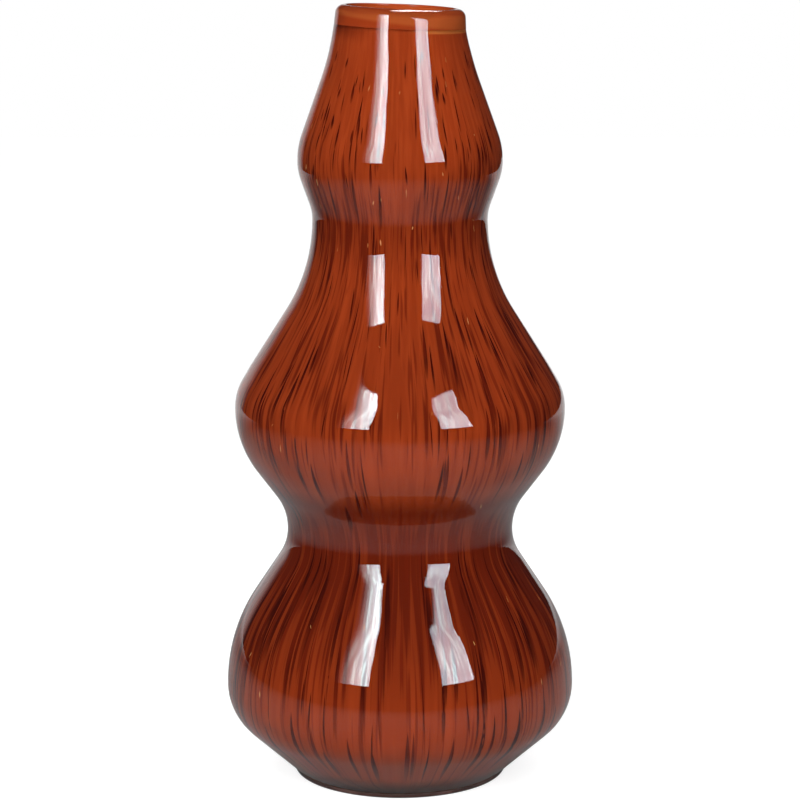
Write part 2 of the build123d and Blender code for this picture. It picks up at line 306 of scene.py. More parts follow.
class Gourd:
    """The vase's form, worked out from the scene's own sizes, and its colours."""

    def __init__(self, scene):
        outline, layers = scene.gourd_outline, scene.gourd_layers
        self.layers, self.streaks, self.colours = layers, scene.gourd_streaks, scene.gourd_colours
        self.foot_r, self.foot_z = outline.foot[0] / 2, outline.foot[1]
        self.lower_bulb_z = self.foot_z + outline.lower_bulb[1]
        self.lower_waist_z = self.lower_bulb_z + outline.lower_waist[1]
        self.middle_bulb_z = self.lower_waist_z + outline.middle_bulb[1]
        self.upper_waist_z = self.middle_bulb_z + outline.upper_waist[1]
        self.upper_bulb_z = self.upper_waist_z + outline.upper_bulb[1]
        self.neck_z = self.upper_bulb_z + outline.neck[1]
        self.seat_z = self.upper_bulb_z + layers.lip_rise
        self.coat_depth = layers.casing_wall
        self.liner_depth = self.coat_depth + layers.coat_wall
        self.cavity_depth = self.liner_depth + layers.liner_wall
        self.bends = self._bends(outline)
        self.heel = self._bubble_heel()
        self.spans = {}

    def _bends(self, outline):
        """The bends of the skin, from the heel of the lower bulb up past the lip's seat."""
        names = ("foot", "lower_bulb", "lower_waist", "middle_bulb", "upper_waist", "upper_bulb", "neck")
        foot, *features = ((getattr(outline, name)[0] / 2, getattr(self, name + "_z")) for name in names)
        bends = [flank(foot, features[0], outline.heel, 0)[1]]
        flanks = ("lower_shoulder", "middle_heel", "middle_shoulder", "upper_heel", "upper_shoulder")
        for name, lower, upper in zip(flanks, features, features[1:]):
            bends += flank(lower, upper, *getattr(outline, name))
        return bends

    def _bubble_heel(self):
        """The bend between the coloured bubble's flat floor and the slope of the lower bulb's heel."""
        slope, corner = self.bends[0], self.layers.bubble_heel_radius
        centre_z = self.layers.base_thickness + corner
        inward = slope.radius - self.coat_depth - corner
        across = (inward - (centre_z - slope.centre_z) * sin(slope.start)) / cos(slope.start)
        return Bend(slope.centre_r + across, centre_z, corner + self.coat_depth, -pi / 2, slope.start, True)

    def floor_z(self, depth):
        """The height of the bubble's flat floor at a depth."""
        return self.layers.base_thickness + depth - self.coat_depth

    def up_to_seat(self, depth):
        """The bends of the skin, with the neck's cut off where it passes the lip's seat at a depth."""
        *lower, neck = self.bends
        cut = pi + asin((neck.centre_z - self.seat_z) / neck.reach(depth))
        return [*lower, Bend(neck.centre_r, neck.centre_z, neck.radius, neck.start, cut, False)]

    def radius_at(self, height, depth):
        """The radius of a layer at a height, on its bends or on the straights between them."""
        if depth not in self.spans:
            bends = [self.heel, *self.bends]
            self.spans[depth] = [(b, b.point(b.start, depth), b.point(b.end, depth)) for b in bends]
        below = None
        for bend, low, high in self.spans[depth]:
            if height < low[1]:
                if below is None:
                    return low[0]
                along = (height - below[1]) / (low[1] - below[1])
                return below[0] + (low[0] - below[0]) * along
            if height <= high[1]:
                return bend.radius_at(height, depth)
            below = high
        return below[0]


class Pen:
    """Draws a profile in the XZ plane of a bmesh as one chain of edges."""

    def __init__(self, mesh, radius, height):
        self.mesh = mesh
        self.tip = mesh.verts.new((radius, 0, height))

    def line(self, radius, height):
        """Extrudes the chain straight to a place."""
        start, end = self.tip.co.copy(), Vector((radius, 0, height))
        steps = ceil((end - start).length / LINE_STEP)
        for step in range(steps):
            self.tip = bmesh.ops.extrude_vert_indiv(self.mesh, verts=[self.tip])["verts"][0]
            self.tip.co = start.lerp(end, (step + 1) / steps)

    def arc(self, centre_r, centre_z, turn, steps):
        """Spins the chain's tip about a centre, towards +Z where the turn is positive."""
        centre, axis = (centre_r, 0, centre_z), (0, -1, 0)
        spun = bmesh.ops.spin(self.mesh, geom=[self.tip], cent=centre, axis=axis, angle=turn, steps=steps)
        self.tip = spun["geom_last"][0]

    def bends(self, bends, depth, downwards=False):
        """Follows bends, and the straights between them, at a depth under the skin."""
        for bend in reversed(bends) if downwards else bends:
            start, end = (bend.end, bend.start) if downwards else (bend.start, bend.end)
            self.line(*bend.point(start, depth))
            steps = ceil(abs(end - start) * bend.radius / ARC_STEP)
            self.arc(bend.centre_r, bend.centre_z, end - start, steps)


def turned(mesh):
    """Spins the drawn profile about the vase's axis into a closed skin."""
    bmesh.ops.remove_doubles(mesh, verts=mesh.verts[:], dist=WELD)
    profile, axis = mesh.verts[:] + mesh.edges[:], (0, 0, 1)
    bmesh.ops.spin(
        mesh, geom=profile, cent=(0, 0, 0), axis=axis, angle=tau, steps=TURNED_SIDES, use_merge=True
    )
    bmesh.ops.remove_doubles(mesh, verts=mesh.verts[:], dist=WELD)


def clamped(value):
    """A number, kept from 0 to 1."""
    return min(max(value, 0.0), 1.0)


def eased(value):
    """A smooth step from 0 to 1."""
    value = clamped(value)
    return value * value * (3 - 2 * value)


def leaned(mesh, gourd):
    """Tips the glass near the mouth, so that it ends on the lip's leaning seat."""
    blend = gourd.layers.lip_blend
    east, north = tan(gourd.layers.lip_tilt), tan(gourd.layers.lip_nod)
    for vert in mesh.verts:
        rise = eased((vert.co.z - gourd.seat_z + blend) / blend)
        vert.co.z -= (vert.co.x * east + vert.co.y * north) * rise


def swelling(gourd, height):
    """How far the middle bulb's shoulder stands proud at a height: steep below its crest, slow above."""
    layers, rise = gourd.layers, height - gourd.middle_bulb_z
    below = eased((rise - layers.swell_foot) / (layers.swell_crest - layers.swell_foot))
    above = clamped((layers.swell_head - rise) / (layers.swell_head - layers.swell_crest))
    return layers.shoulder_swell * below * above


def wobbled(mesh, gourd):
    """Draws the outer skin inwards here and there, and lets the middle shoulder swell."""
    half_wall, stray = gourd.layers.casing_wall / 2, gourd.layers.hand_wobble
    around, along = 1.9, 26.0  # how quickly the wobble changes round the vase, and up it
    for vert in mesh.verts:
        radius = hypot(vert.co.x, vert.co.y)
        if radius > gourd.radius_at(vert.co.z, half_wall) and vert.co.z > gourd.foot_z + half_wall:
            place = Vector((vert.co.x / radius * around, vert.co.y / radius * around, vert.co.z * along))
            stray_in = stray * (0.5 + 0.5 * noise.noise(place))
            kept = 1 + (swelling(gourd, vert.co.z) - stray_in) / radius
            vert.co.x *= kept
            vert.co.y *= kept


def dressed(name, mesh, material, node, slot):
    """Makes the finished piece, which stands for its CAD node and rides with the vase."""
    if any(not edge.is_manifold for edge in mesh.edges):
        raise RuntimeError(f"{name} has an open seam")
    bmesh.ops.recalc_face_normals(mesh, faces=mesh.faces[:])
    for face in mesh.faces:
        face.smooth = True
    for edge in mesh.edges:
        edge.smooth = edge.calc_face_angle(0.0) < CREASE
    data = bpy.data.meshes.new(name)
    mesh.to_mesh(data)
    mesh.free()
    data.materials.append(material)
    piece = bpy.data.objects.new(name, data)
    bpy.context.scene.collection.objects.link(piece)
    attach(piece, "root")
    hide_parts(node)


def arithmetic(operation, swapped=False):
    """A method that joins a number with another by a Math node."""

    def joined(self, other):
        pair = {0: other, 1: self} if swapped else {0: self, 1: other}
        return self.recipe.number("Math", pair, operation=operation)

    return joined


class Number:
    """A shader socket that holds a number, with Python's own arithmetic, and the most of two."""

    __add__ = __radd__ = arithmetic("ADD")
    __sub__ = arithmetic("SUBTRACT")
    __rsub__ = arithmetic("SUBTRACT", swapped=True)
    __mul__ = __rmul__ = arithmetic("MULTIPLY")
    __truediv__ = arithmetic("DIVIDE")
    __pow__ = arithmetic("POWER")
    most = arithmetic("MAXIMUM")

    def __init__(self, recipe, socket):
        self.recipe, self.socket = recipe, socket

    def fade(self, low, high):
        """A smooth step from 0 at low to 1 at high."""
        limits = {"Value": self, "From Min": low, "From Max": high}
        return self.recipe.number("MapRange", limits, "Result", interpolation_type="SMOOTHSTEP")


class Recipe:
    """The nodes of one material, of a lamp or of the world."""

    def __init__(self, owner, output):
        owner.use_nodes = True
        self.owner, self.tree = owner, owner.node_tree
        self.tree.nodes.clear()
        self.output = self.node(output)

    def node(self, kind, inputs=None, **settings):
        """Adds a node, sets its settings, then feeds its sockets with values or links."""
        node = self.tree.nodes.new("ShaderNode" + kind)
        for name, value in settings.items():
            if name == "stops":
                self._stops(node.color_ramp, value)
            else:
                setattr(node, name, value)
        for name, value in (inputs or {}).items():
            self.feed(node.inputs[name], value)
        return node

    def _stops(self, ramp, stops):
        """Gives a ramp its stops, as pairs of a place and a grey."""
        while len(ramp.elements) < len(stops):
            ramp.elements.new(1.0)
        for element, (place, grey) in zip(ramp.elements, stops):
            element.position = place
            element.color = (grey, grey, grey, 1)

    def feed(self, socket, value):
        """Sets a socket to a value, or links it to a number, to a socket or to a node's first output."""
        if isinstance(value, Number):
            value = value.socket
        elif isinstance(value, bpy.types.Node):
            value = value.outputs[0]
        if isinstance(value, bpy.types.NodeSocket):
            self.tree.links.new(value, socket)
        elif socket.type == "RGBA":
            socket.default_value = (*value, 1)
        else:
            socket.default_value = value

    def number(self, kind, inputs=None, output=0, **settings):
        """Adds a node and gives one of its outputs as a number to reckon with."""
        return Number(self, self.node(kind, inputs, **settings).outputs[output])

    def parts(self, vector):
        """The three numbers of a vector."""
        return [Number(self, socket) for socket in self.node("SeparateXYZ", {"Vector": vector}).outputs]

    def noise(self, place, scale, detail):
        """Noise at a place, which is a vector or three numbers."""
        if isinstance(place, tuple):
            place = self.node("CombineXYZ", dict(enumerate(place)))
        return self.number("TexNoise", {"Vector": place, "Scale": scale, "Detail": detail})

    def ray(self, kind):
        """1 for light that travels as this kind of ray, and 0 for all other."""
        return self.number("LightPath", output=f"Is {kind} Ray")

    def mixed(self, mask, first, second):
        """A colour that goes from the first to the second as the mask goes from 0 to 1."""
        return self.node("Mix", {0: mask, 6: first, 7: second}, data_type="RGBA").outputs[2]

    def shaded(self, surface):
        """Ends the recipe in a surface."""
        self.feed(self.output.inputs["Surface"], surface)
        return self.owner

    def glass(self, inputs):
        """Ends the recipe in glass with these qualities."""
        return self.shaded(self.node("BsdfPrincipled", inputs))


class Meridians:
    """Coordinates that follow the drawing out of the glass: round the axis, and up along it."""

    def __init__(self, recipe):
        self.recipe = recipe
        self.place = recipe.node("TexCoord").outputs["Object"]
        self.x, self.y, self.z = recipe.parts(self.place)
        radius = (self.x * self.x + self.y * self.y + 1e-9) ** 0.5
        self.east, self.north = self.x / radius, self.y / radius
        shortening = 3.6
        self.drawn = self.z * (0.5 + self.z * shortening)

    def strokes(self, about, reach, seed, detail=2.0):
        """Noise of about so many strokes round the vase, as long as reach low down and shorter higher."""
        scale = about / tau
        up = self.drawn / (scale * reach) + seed
        return self.recipe.noise((self.east, self.north, up), scale, detail)

    def by_height(self, top, values):
        """A number that changes with height, from values at heights up to the top."""
        stops = [(height / top, value) for height, value in values.items()]
        return self.recipe.number("ValToRGB", {"Fac": self.z / top}, stops=stops)


def started(name):
    """A new material's recipe, and the coordinates for it."""
    recipe = Recipe(bpy.data.materials.new(name), "OutputMaterial")
    return recipe, Meridians(recipe)


def casing_glass(gourd):
    """Clear glass that bends the view of the coat, and lets the lamps' light through to it."""
    recipe, lines = started("clear_casing_glass")
    striae = lines.strokes(210, 0.09, 3.1, 3.0)
    clear = {
        "Base Color": gourd.colours.casing,
        "Roughness": 0.012,
        "IOR": GLASS_IOR,
        "Transmission Weight": 1.0,
        "Normal": recipe.node("Bump", {"Strength": 0.25, "Distance": 0.06 * MM, "Height": striae}),
    }
    glass = recipe.node("BsdfPrincipled", clear)
    through = recipe.node("BsdfTransparent", {"Color": gourd.colours.casing_shade})
    return recipe.shaded(recipe.node("MixShader", {0: recipe.ray("Shadow"), 1: glass, 2: through}))


def matt_glass(recipe, colour):
    """Coloured glass that lies inside other glass, so that it has no gloss of its own."""
    return recipe.glass({"Base Color": colour, "Roughness": 0.6, "Specular IOR Level": 0.0})


def over_seat(lines, gourd):
    """The height over the lip's leaning seat."""
    lean = lines.x * tan(gourd.layers.lip_tilt) + lines.y * tan(gourd.layers.lip_nod)
    return lines.z + lean - gourd.seat_z


def drawn_ground(recipe, lines, gourd):
    """The colour of the coat: light and dark strokes, which crowd together over the lower bulb, with
    painted shade in the waists and a painted dark reflection under the middle bulb.
    """
    heel, lower, waist = gourd.foot_z + 0.010, gourd.lower_bulb_z, gourd.lower_waist_z
    middle, neck, upper, seat = gourd.middle_bulb_z, gourd.upper_waist_z, gourd.upper_bulb_z, gourd.seat_z
    pale = lines.strokes(120, 0.06, 1.3).fade(0.38, 0.68)
    ground = recipe.mixed(pale, gourd.colours.coat, gourd.colours.coat_light)
    # Darker by height: partly the real dark bands crowding over the lower bulb, partly painted shade in the
    # two waists and a painted dark reflection of the lower bulb on the middle bulb's underside.
    deep = {
        heel: 0.12, lower + 0.005: 0.26, lower + 0.030: 0.50,
        waist - 0.008: 0.62, waist + 0.012: 0.74, waist + 0.020: 0.84, waist + 0.028: 0.24,
        middle - 0.010: 0.18, middle + 0.010: 0.22, neck - 0.020: 0.12, neck: 0.42,
        upper - 0.006: 0.20, upper + 0.012: 0.0,
    }
    ground = recipe.mixed(lines.by_height(seat, deep), ground, gourd.colours.coat_band_and_shade)
    # Fewer bare gaps at the waists, so that the broad bands there also paint shade.
    bare_of_broad = {
        heel: 0.72, lower: 0.68, lower + 0.017: 0.58, lower + 0.040: 0.48,
        waist - 0.012: 0.41, waist + 0.003: 0.42, waist + 0.011: 0.48, waist + 0.023: 0.63,
        middle - 0.020: 0.65, middle: 0.55, middle + 0.060: 0.60, neck - 0.006: 0.48, neck + 0.006: 0.52,
        upper - 0.004: 0.60, upper + 0.020: 0.66, seat - 0.012: 0.95,
    }
    front = (0 - lines.north).fade(0.92, 1.0) * lines.z.fade(waist, middle)
    broad = lines.strokes(150, 0.09, 11.6) - lines.by_height(seat, bare_of_broad) - 0.09 * front
    banded = recipe.mixed(broad.fade(-0.05, 0.08) * 0.85, ground, gourd.colours.coat_band_and_shade)
    bare_of_fine = {
        heel: 0.60, waist: 0.58, middle: 0.63, neck: 0.58, upper + 0.012: 0.66, seat - 0.012: 0.95
    }
    fine = lines.strokes(260, 0.05, 9.2, 1.0) - lines.by_height(seat, bare_of_fine)
    return recipe.mixed(fine.fade(-0.03, 0.08) * 0.7, banded, gourd.colours.coat_stroke)


def coat_glass(gourd):
    """Red-brown glass, with a gold line under the lip on one side and painted shade under it on the other.
    """
    recipe, lines = started("red_brown_coat_glass")
    ground = drawn_ground(recipe, lines, gourd)
    rise = over_seat(lines, gourd)
    # Painted shade just under the lip on the -X side, which darkens the coat there.
    lip_painted_shade = rise.fade(-0.008, -0.001) * (0 - lines.x).fade(0.006, 0.026)
    shaded = recipe.mixed(lip_painted_shade * 0.6, ground, gourd.colours.coat_band_and_shade)
    line = rise.fade(-0.0022, -0.0015) * lines.x.fade(0.002, 0.018)
    return matt_glass(recipe, recipe.mixed(line, shaded, gourd.colours.seam))


def streak_glass(gourd):
    """Dark brown slivers that melt into the coat at their lower ends."""
    recipe, lines = started("dark_streak_glass")
    ground = drawn_ground(recipe, lines, gourd)
    along = recipe.parts(recipe.node("UVMap"))[1]
    thin = lines.strokes(90, 0.03, 2.4).fade(0.40, 0.66)
    drawn = recipe.mixed(thin, gourd.colours.streak, gourd.colours.streak_thin)
    return matt_glass(recipe, recipe.mixed(along.fade(0.02, 0.62), ground, drawn))


def glint_glass(gourd):
    """Painted glints: gold for bubbles that catch the lamps, some dulled by the glass over them."""
    recipe, lines = started("gold_glint_glass")
    dull = lines.strokes(140, 0.01, 8.8).fade(0.40, 0.60)
    return matt_glass(recipe, recipe.mixed(dull, gourd.colours.fleck, gourd.colours.fleck_dull))


def liner_glass(gourd):
    """Amber glass, glossy inside the mouth, and darker further down as painted shade."""
    recipe, lines = started("amber_liner_glass")
    cloud = lines.strokes(40, 0.04, 4.4).fade(0.3, 0.7)
    # Painted shade: the amber darkens further down inside the vase.
    depth = lines.z.fade(gourd.upper_waist_z, gourd.seat_z)
    colour = recipe.mixed(depth * (0.75 + 0.25 * cloud), gourd.colours.liner_painted_shade, gourd.colours.liner)
    return recipe.glass({"Base Color": colour, "Roughness": 0.08, "IOR": GLASS_IOR})


def lip_glass(gourd):
    """Ochre glass, redder over the rim, with fine lines trailed round it."""
    recipe, lines = started("ochre_lip_glass")
    rise = over_seat(lines, gourd)
    trails_per_metre, waviness = 900, 4 * MM
    trail = recipe.noise((lines.east, lines.north, rise * trails_per_metre), 1.0, 3.0)
    height = gourd.layers.lip_height
    rim = (rise + (trail - 0.5) * waviness).fade(height * 0.45, height * 0.98)
    ochre = recipe.mixed(rim, gourd.colours.lip, gourd.colours.lip_rim)
    seam_end, seam_slope, seam_blur = 22.8 * MM, 0.090, 1.1 * MM
    seam = (rise - (seam_end - lines.x) * seam_slope).fade(-seam_blur, seam_blur)
    colour = recipe.mixed(seam, gourd.colours.coat, ochre)
    return recipe.glass(
        {"Base Color": colour, "Roughness": 0.03, "IOR": GLASS_IOR, "Specular IOR Level": 0.2}
    )


def foot_glass(gourd):
    """Polished glass with paler wisps, dark with painted shade, and a paler painted sheen where it joins
    the casing.
    """
    recipe, lines = started("painted_shade_foot_glass")
    wisp = lines.strokes(30, 0.004, 6.1).fade(0.45, 0.7)
    # Painted shade: the clear pad is coloured dark for the shade seen through it.
    painted_shade = recipe.mixed(wisp, gourd.colours.foot, gourd.colours.foot_light)
    # Painted sheen: the top face, seen through the casing's heel, is paler grey.
    top = lines.z.fade(gourd.foot_z - TUCK, gourd.foot_z + TUCK / 2)
    colour = recipe.mixed(top, painted_shade, gourd.colours.foot_top_painted_sheen)
    return recipe.glass({"Base Color": colour, "Roughness": 0.05 + 0.08 * wisp, "IOR": GLASS_IOR})


def table_top(studio):
    """A matt table that keeps the vase's shadow and pales into the white round it."""
    recipe, lines = started("pale_table_top")
    grain = recipe.noise(lines.place, 60.0, 3.0)
    worn = [part * 0.985 for part in studio.table]
    pale = recipe.mixed(grain, worn, studio.table)
    away = (lines.x * lines.x + lines.y * lines.y) ** 0.5
    near, far = 0.2 * studio.table_front, 0.95 * studio.table_front
    dusk = away.fade(near, far)
    matt = recipe.node("BsdfDiffuse", {"Color": recipe.mixed(dusk, pale, studio.table_dusk)})
    behind = 0.75 * lines.y.fade(0.3, 0.9)
    mirrored = recipe.ray("Glossy").most(recipe.ray("Transmission")) * behind
    seen = recipe.ray("Camera").most(mirrored)
    bright = 0.78 + 0.22 * away.fade(0.15, 0.9)
    glow = recipe.node("Emission", {"Color": (1, 1, 1), "Strength": seen * bright})
    return recipe.shaded(recipe.node("AddShader", {0: matt, 1: glow}))


class GOURD_OT_foot_pad(bpy.types.Operator):
    """Make the pad under the vase, dark with painted shade, with its ground punty mark"""

    bl_idname = "gourd.foot_pad"
    bl_label = "Foot Pad"

    def execute(self, context):
        gourd = Gourd(context.scene)
        layers = gourd.layers
        ease, punty_r, punty_z = layers.foot_edge_radius, layers.punty_diameter / 2, layers.punty_depth
        ball = (punty_r**2 + punty_z**2) / (2 * punty_z)
        mesh = bmesh.new()
        pen = Pen(mesh, 0, punty_z)
        pen.arc(0, punty_z - ball, -asin(punty_r / ball), 6)
        pen.line(gourd.foot_r - ease, 0)
        pen.arc(gourd.foot_r - ease, ease, pi / 2, 6)
        pen.line(gourd.foot_r, gourd.foot_z)
        pen.line(gourd.foot_r - TUCK, gourd.foot_z + TUCK)
        pen.line(0, gourd.foot_z + TUCK)
        turned(mesh)
        dressed("foot_pad_painted_shade", mesh, foot_glass(gourd), "foot_pad", "foot_glass")
        return {"FINISHED"}


class GOURD_OT_clear_casing(bpy.types.Operator):
    """Make the outer gather of clear glass, thick in the base"""

    bl_idname = "gourd.clear_casing"
    bl_label = "Clear Casing"

    def execute(self, context):
        gourd = Gourd(context.scene)
        inside = gourd.coat_depth + TUCK
        mesh = bmesh.new()
        pen = Pen(mesh, 0, gourd.foot_z)
        pen.line(gourd.foot_r, gourd.foot_z)
        pen.bends(gourd.up_to_seat(0), 0)
        pen.bends([gourd.heel, *gourd.up_to_seat(inside)], inside, downwards=True)
        pen.line(0, gourd.floor_z(inside))
        turned(mesh)
        wobbled(mesh, gourd)
        leaned(mesh, gourd)
        dressed("clear_casing_blown", mesh, casing_glass(gourd), "clear_casing", "clear_glass")
        return {"FINISHED"}


def gather(gourd, outside, inside):
    """A closed layer of glass between two depths, with a flat floor, up to the lip's seat."""
    mesh = bmesh.new()
    pen = Pen(mesh, 0, gourd.floor_z(outside))
    pen.bends([gourd.heel, *gourd.up_to_seat(outside)], outside)
    pen.bends([gourd.heel, *gourd.up_to_seat(inside)], inside, downwards=True)
    pen.line(0, gourd.floor_z(inside))
    turned(mesh)
    leaned(mesh, gourd)
    return mesh


class GOURD_OT_colour_coat(bpy.types.Operator):
    """Make the thin red-brown gather under the casing"""

    bl_idname = "gourd.colour_coat"
    bl_label = "Colour Coat"

    def execute(self, context):
        gourd = Gourd(context.scene)
        mesh = gather(gourd, gourd.coat_depth, gourd.liner_depth)
        dressed("colour_coat_drawn", mesh, coat_glass(gourd), "colour_coat", "red_brown_glass")
        return {"FINISHED"}


class GOURD_OT_amber_liner(bpy.types.Operator):
    """Make the inner gather of amber glass, which shows inside the mouth"""

    bl_idname = "gourd.amber_liner"
    bl_label = "Amber Liner"

    def execute(self, context):
        gourd = Gourd(context.scene)
        mesh = gather(gourd, gourd.liner_depth, gourd.cavity_depth)
        dressed("amber_liner_blown", mesh, liner_glass(gourd), "amber_liner", "amber_glass")
        return {"FINISHED"}


class LipShape:
    """The lip's section over its seat: a leaning band, round outside and lightly eased inside."""

    def __init__(self, gourd):
        layers = gourd.layers
        self.lean, self.height, self.skin = layers.lip_lean, layers.lip_height, layers.lip_skin
        self.outer_r = gourd.radius_at(gourd.seat_z, 0)
        self.inner_r = gourd.radius_at(gourd.seat_z, gourd.cavity_depth)
        self.inner_round = layers.lip_inner_round
        self.outer_round = gourd.cavity_depth - self.inner_round
        self.crown_z = self.height - self.outer_round
        self.crown_r = self.outer_r - self.crown_z * tan(self.lean) - self.outer_round / cos(self.lean)
        inner_z = self.height - self.inner_round
        self.inner_centre = (
            self.inner_r - inner_z * tan(self.lean) + self.inner_round / cos(self.lean), inner_z
        )

    def climb(self, pen, depth):
        """Draws the outer face and its round at a depth, up to the crown."""
        reach = self.outer_round - depth
        pen.line(self.outer_r - depth / cos(self.lean), -TUCK)
        pen.line(self.crown_r + reach * cos(self.lean), self.crown_z + reach * sin(self.lean))
        pen.arc(self.crown_r, self.crown_z, pi / 2 - self.lean, 12)

    def core(self, mesh):
        """Draws the ochre core, under the clear skin and bare inside the mouth."""
        pen = Pen(mesh, self.inner_r, -TUCK)
        self.climb(pen, self.skin)
        centre_r, centre_z = self.inner_centre
        pen.line(centre_r, self.height)
        pen.arc(centre_r, centre_z, pi / 2 + self.lean, 5)
        pen.line(self.inner_r, -TUCK)

    def clear_skin(self, mesh):
        """Draws the clear skin, which runs out to nothing at the inner corner."""
        depth = self.skin + TUCK
        reach = self.outer_round - depth
        pen = Pen(mesh, self.outer_r - depth / cos(self.lean), -TUCK)
        self.climb(pen, 0)
        pen.line(self.inner_centre[0], self.height)
        pen.line(self.crown_r, self.crown_z + reach)
        pen.arc(self.crown_r, self.crown_z, self.lean - pi / 2, 12)
        pen.line(self.outer_r - depth / cos(self.lean), -TUCK)


def sagged(mesh, layers, shape):
    """Lets the rim's outer side down where the maker pressed it."""
    inner_r, narrowness = shape.inner_centre[0] - shape.inner_round, 10
    for vert in mesh.verts:
        turn = atan2(vert.co.x, -vert.co.y) - layers.sag_bearing
        rise = max(vert.co.z / layers.lip_height, 0.0)
        out = clamped((hypot(vert.co.x, vert.co.y) - inner_r) / shape.outer_round)
        vert.co.z -= layers.lip_sag * max(cos(turn), 0.0) ** narrowness * rise * out


class GOURD_OT_lip_wrap(bpy.types.Operator):
    """Make the ochre band that closes the ends of the gathers round the mouth, and its clear skin"""

    bl_idname = "gourd.lip_wrap"
    bl_label = "Lip Wrap"

    def execute(self, context):
        gourd = Gourd(context.scene)
        layers, shape = gourd.layers, LipShape(gourd)
        lean = Matrix.Rotation(layers.lip_tilt, 4, "Y") @ Matrix.Rotation(-layers.lip_nod, 4, "X")
        place = Matrix.Translation((0, 0, gourd.seat_z)) @ lean
        clear = bpy.data.materials.get("clear_casing_glass") or casing_glass(gourd)
        pieces = {
            "lip_wrap_core": (shape.core, lip_glass(gourd), "lip_glass"),
            "lip_wrap_skin": (shape.clear_skin, clear, "clear_glass"),
        }
        for name, (draw, material, slot) in pieces.items():
            mesh = bmesh.new()
            draw(mesh)
            turned(mesh)
            sagged(mesh, layers, shape)
            bmesh.ops.transform(mesh, matrix=place, verts=mesh.verts[:])
            dressed(name, mesh, material, "lip_wrap", slot)
        return {"FINISHED"}


def add_sliver(mesh, gourd, turn, skew, low, length, half_width, point):
    """Adds one drawn-out sliver that lies along the coat's face, longer in its upper tip."""
    streaks = gourd.streaks
    grown = bmesh.new()
    grown.loops.layers.uv.new("along_sliver")
    bmesh.ops.create_uvsphere(grown, u_segments=4, v_segments=12, radius=1.0, calc_uvs=True)
    half_angle = half_width / gourd.radius_at(low + length / 2, gourd.coat_depth)
    for vert in grown.verts:
        across, through, along = vert.co
        height = low + length * max((along + 1) / 2, 0.0) ** point
        angle = turn + skew * along + half_angle * across * sqrt(1 - min(along**2, 1.0))
        depth = gourd.coat_depth - streaks.stand_off - through * streaks.thickness / 2
        radius = gourd.radius_at(height, depth)
        vert.co = (radius * cos(angle), radius * sin(angle), height)
    data = bpy.data.meshes.new("sliver")
    grown.to_mesh(data)
    grown.free()
    mesh.from_mesh(data)
    bpy.data.meshes.remove(data)


def drift(mesh, gourd, bulb, low, high, chance):
    """Scatters the slivers of one bulb, whose sizes change from its low end to its high end."""
    streaks, narrowness = gourd.streaks, 14
    spans = getattr(streaks, bulb + "_length"), getattr(streaks, bulb + "_width")
    for index in range(getattr(streaks, bulb + "_count")):
        up = chance.random()
        length, width = (at_low + (at_high - at_low) * up for at_low, at_high in spans)
        length *= 0.5 + 1.1 * chance.random() ** 1.5
        width *= 0.4 + 1.2 * chance.random() ** 1.5
        bottom = low + (high - low - length) * up
        skew = chance.uniform(-1, 1) * SKEW
        turn = index * GOLDEN_ANGLE + chance.uniform(-STRAY, STRAY)
        in_front = max(-sin(turn), 0.0) ** narrowness
        if chance.random() >= streaks.front_bareness * in_front:
            add_sliver(mesh, gourd, turn, skew, bottom, length, width / 2, point=1.3)


def wedges(mesh, gourd, chance):
    """Sets the dark wedges over the heel, broad at the bubble's floor and pointed upwards."""
    streaks = gourd.streaks
    low = gourd.floor_z(gourd.coat_depth) + gourd.layers.bubble_heel_radius / 20
    for index in range(streaks.wedge_count):
        length = streaks.wedge_length * chance.uniform(0.6, 1.4)
        width = streaks.wedge_width * chance.uniform(0.5, 1.5)
        turn = index * GOLDEN_ANGLE + chance.uniform(-0.06, 0.06)
        add_sliver(mesh, gourd, turn, 0.0, low, length, width / 2, point=1.2)


class GOURD_OT_streaks(bpy.types.Operator):
    """Make the dark slivers of the three bulbs"""

    bl_idname = "gourd.streaks"
    bl_label = "Dark Streaks"

    def execute(self, context):
        gourd = Gourd(context.scene)
        streaks = gourd.streaks
        material = streak_glass(gourd)
        floor = gourd.floor_z(gourd.coat_depth) + gourd.layers.bubble_heel_radius / 2
        past = streaks.past_waist
        bulbs = {
            "upper": (gourd.upper_waist_z - past, gourd.seat_z - streaks.clear_of_lip),
            "middle": (gourd.lower_waist_z, gourd.upper_waist_z + past),
            "lower": (floor, gourd.lower_waist_z + past),
        }
        for seed, (bulb, (low, high)) in enumerate(bulbs.items()):
            chance = Random(seed)
            mesh = bmesh.new()
            drift(mesh, gourd, bulb, low, high, chance)
            if bulb == "lower":
                wedges(mesh, gourd, chance)
            node = bulb + "_bulb_streaks"
            dressed(node + "_drawn", mesh, material, node, "dark_streak_glass")
        return {"FINISHED"}


class GOURD_OT_glints(bpy.types.Operator):
    """Make the painted glints over the coat, small gold slivers that stand for bubbles catching the lamps
    """

    bl_idname = "gourd.flecks"
    bl_label = "Gold Flecks"

    def execute(self, context):
        gourd = Gourd(context.scene)
        streaks = gourd.streaks
        chance = Random(5)
        low, high = gourd.lower_bulb_z, gourd.seat_z - streaks.clear_of_lip
        mesh = bmesh.new()
        for index in range(streaks.fleck_count):
            length = streaks.fleck_length * chance.uniform(0.4, 1.6)
            width = streaks.fleck_width * chance.uniform(0.5, 1.3)
            bottom = low + (high - low) * chance.random()
            turn = index * GOLDEN_ANGLE + chance.uniform(-STRAY, STRAY)
            skew = chance.uniform(-1, 1) * SKEW
            add_sliver(mesh, gourd, turn, skew, bottom, length, width / 2, point=1.0)
        dressed("colour_coat_glints", mesh, glint_glass(gourd), "colour_coat", "red_brown_glass")
        return {"FINISHED"}


